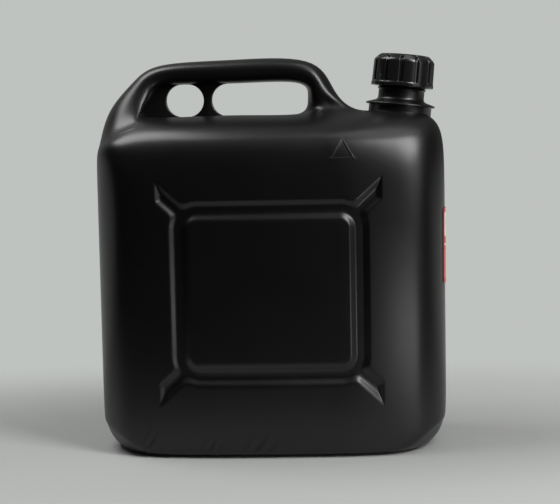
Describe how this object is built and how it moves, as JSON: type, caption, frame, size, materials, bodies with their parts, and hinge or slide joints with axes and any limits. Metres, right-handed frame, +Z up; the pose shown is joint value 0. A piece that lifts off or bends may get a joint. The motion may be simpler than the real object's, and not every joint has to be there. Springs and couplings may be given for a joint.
{
  "type": "jerry can",
  "caption": "Blow-moulded plastic jerry can with a hollow carrying handle, a pinched web, a framed front panel and a lobed screw cap on a tilted neck.",
  "frame": {"origin": "on the ground, under the middle of the can", "axes": "+Z up, -Y the can's front, +X towards the neck's end"},
  "size_m": [0.2996, 0.1516, 0.3374],
  "materials": {
    "can": "satin, fine moulded grain",
    "cap": "semi-gloss",
    "seal": "matt",
    "label": "coated, satin"
  },
  "bodies": {
    "can": {"can_body": "can", "side_label": "label"},
    "seal": {"cap_seal": "seal"},
    "cap": {"screw_cap": "cap"}
  },
  "joints": [
    {"name": "cap_lift", "type": "slide", "parent": "can", "child": "seal", "axis": [0.1045, 0, 0.9945], "range_m": [0, 0.0241]},
    {"name": "cap_turn", "type": "hinge", "parent": "seal", "child": "cap", "pos_m": [0.11325, 0, 0.2929], "axis": [0.1045, 0, 0.9945], "range_deg": [0, 1440]}
  ],
  "couplings": [
    {"joint": "cap_lift", "follows": "cap_turn", "m_per_rad": 0.00095493}
  ]
}
